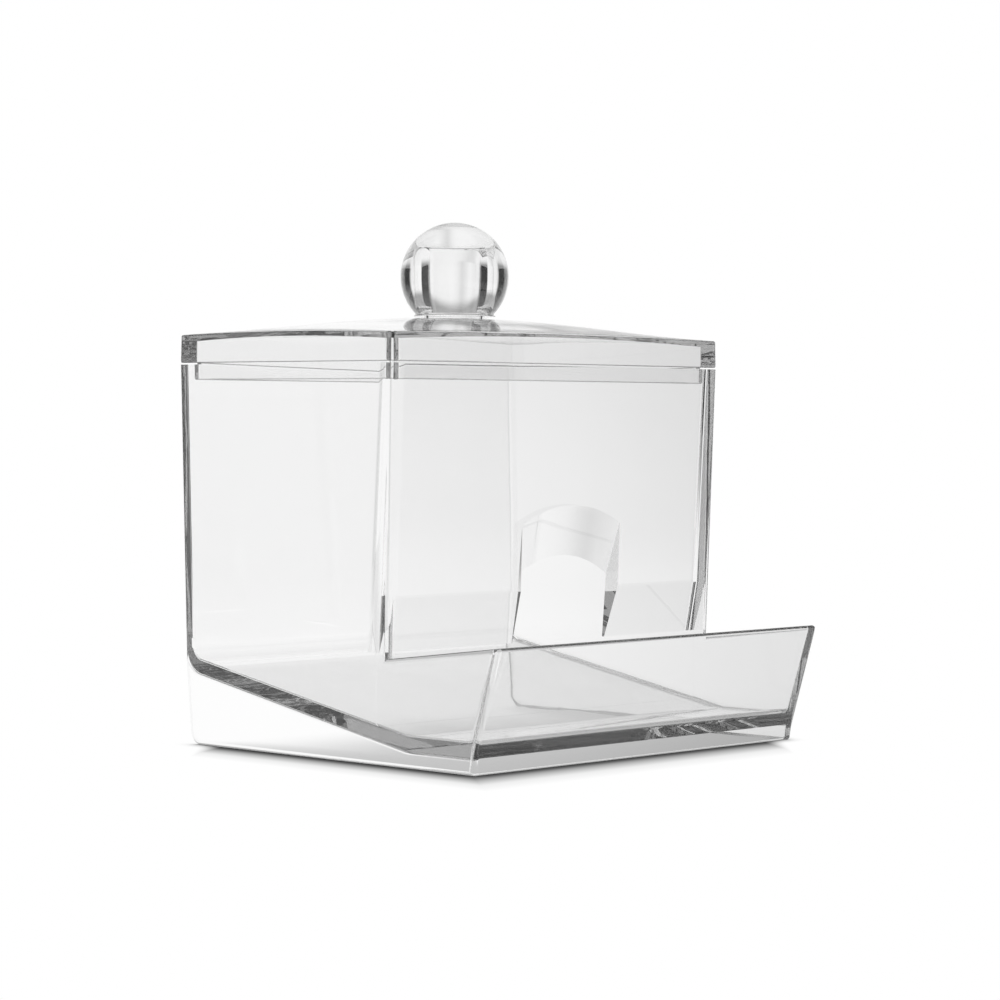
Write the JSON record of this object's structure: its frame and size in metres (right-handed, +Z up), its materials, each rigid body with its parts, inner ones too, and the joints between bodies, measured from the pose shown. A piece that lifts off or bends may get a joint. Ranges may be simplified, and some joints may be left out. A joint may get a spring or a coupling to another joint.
{
  "type": "cotton swab holder",
  "caption": "Clear moulded cotton swab holder: sloping floor, open front tray behind a leaning lip, finger arch over the slot, and a lift-off crowned lid with a ball knob.",
  "frame": {"origin": "under the middle of the whole footprint, on the surface the box stands on", "axes": "+Z up; -Y towards the tray and the user; +X to the user's right"},
  "size_m": [0.0882, 0.0808, 0.0972],
  "materials": {
    "clear_box": "clear, polished",
    "clear_lid": "clear, polished"
  },
  "bodies": {
    "box": {"box": "clear_box"},
    "lid": {"lid": "clear_lid", "knob": "clear_lid"}
  },
  "joints": [
    {"name": "lid_lift", "type": "slide", "parent": "box", "child": "lid", "axis": [0, 0, 1], "range_m": [0, 0.06]}
  ]
}
